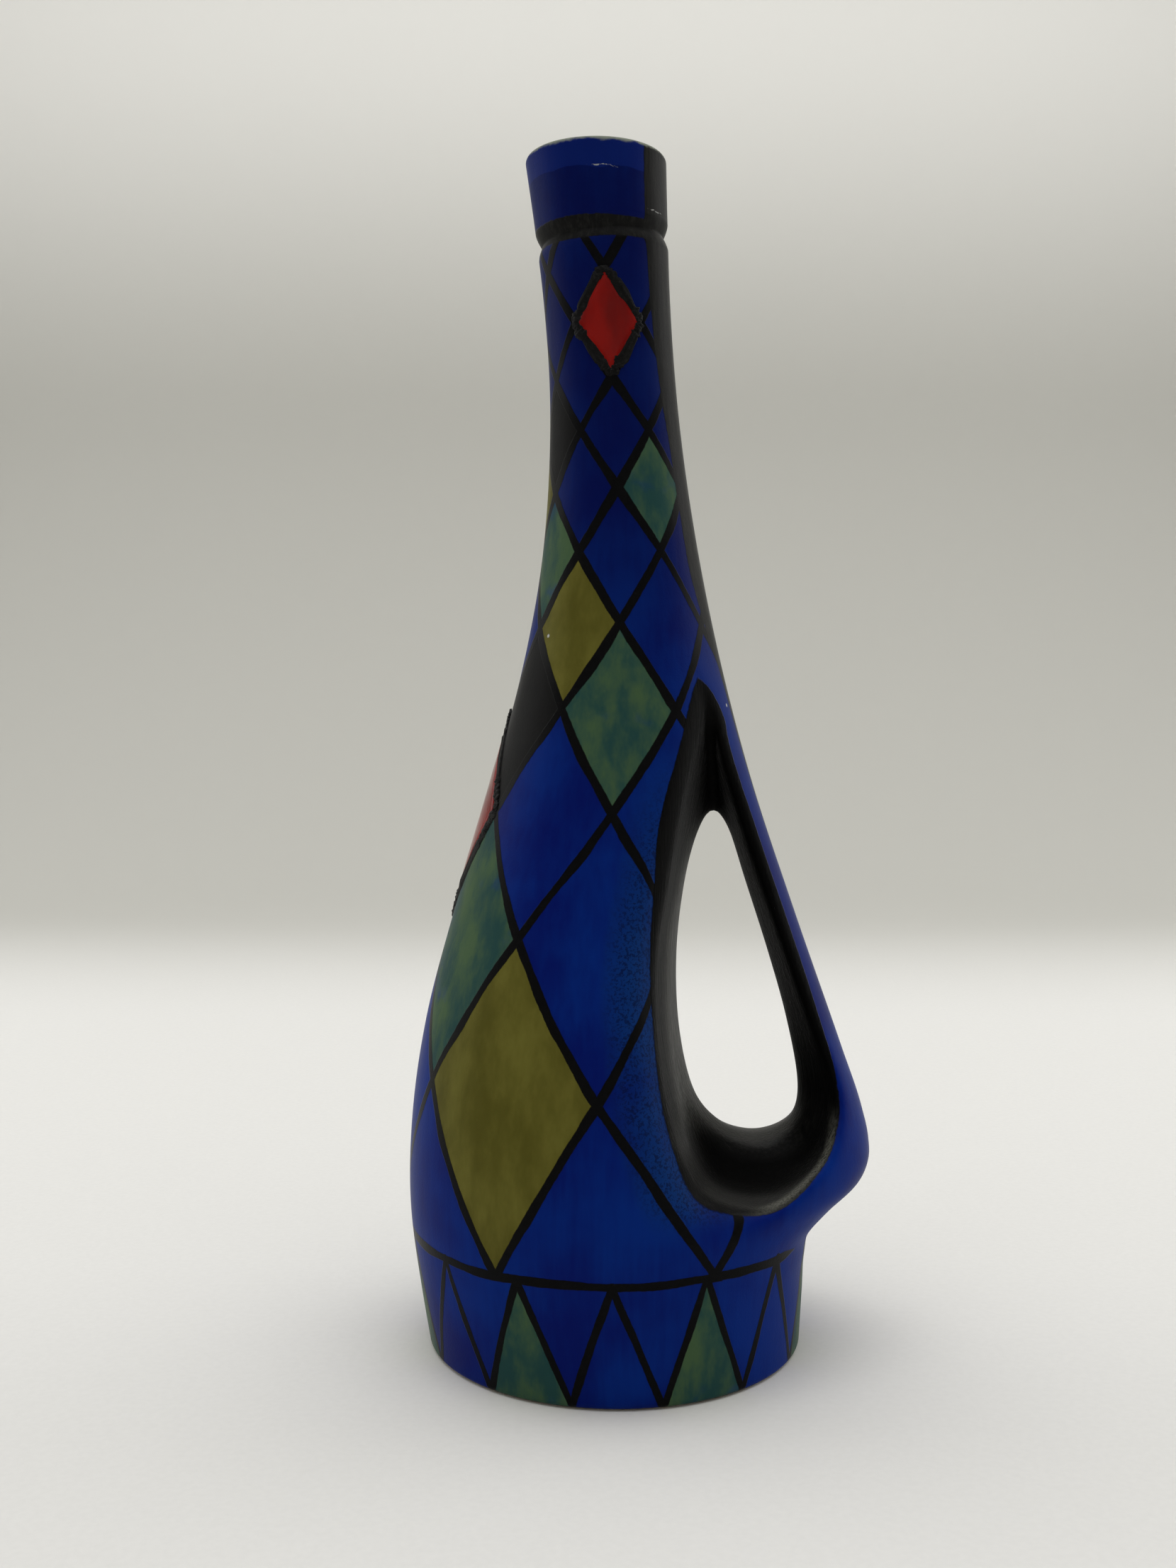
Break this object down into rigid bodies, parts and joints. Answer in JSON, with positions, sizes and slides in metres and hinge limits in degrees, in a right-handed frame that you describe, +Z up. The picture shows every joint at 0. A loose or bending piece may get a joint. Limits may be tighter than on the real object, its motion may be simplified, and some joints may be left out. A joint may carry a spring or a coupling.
{
  "type": "ceramic jug",
  "caption": "Tall bottle-shaped ceramic jug with a leaning neck, a flared pouring collar and a handle pierced through its round body.",
  "frame": {"origin": "centre of the round foot, on the plane the jug stands on", "axes": "+Z up along the jug's height, +X towards the handle, -X towards the pouring lip"},
  "size_m": [0.118, 0.1018, 0.3],
  "materials": {
    "matte_blue_glaze": "matte cobalt blue glaze with brushed black lines and coloured panels",
    "satin_black_glaze": "brushed satin black glaze",
    "red_enamel": "thick glossy red enamel",
    "bare_clay": "unglazed fired clay"
  },
  "bodies": {
    "root": {"base_slab": "bare_clay", "lower_body": "matte_blue_glaze", "upper_body": "matte_blue_glaze", "neck": "matte_blue_glaze", "rim_collar": "matte_blue_glaze", "handle_arm": "satin_black_glaze", "handle_elbow": "satin_black_glaze"}
  },
  "joints": []
}
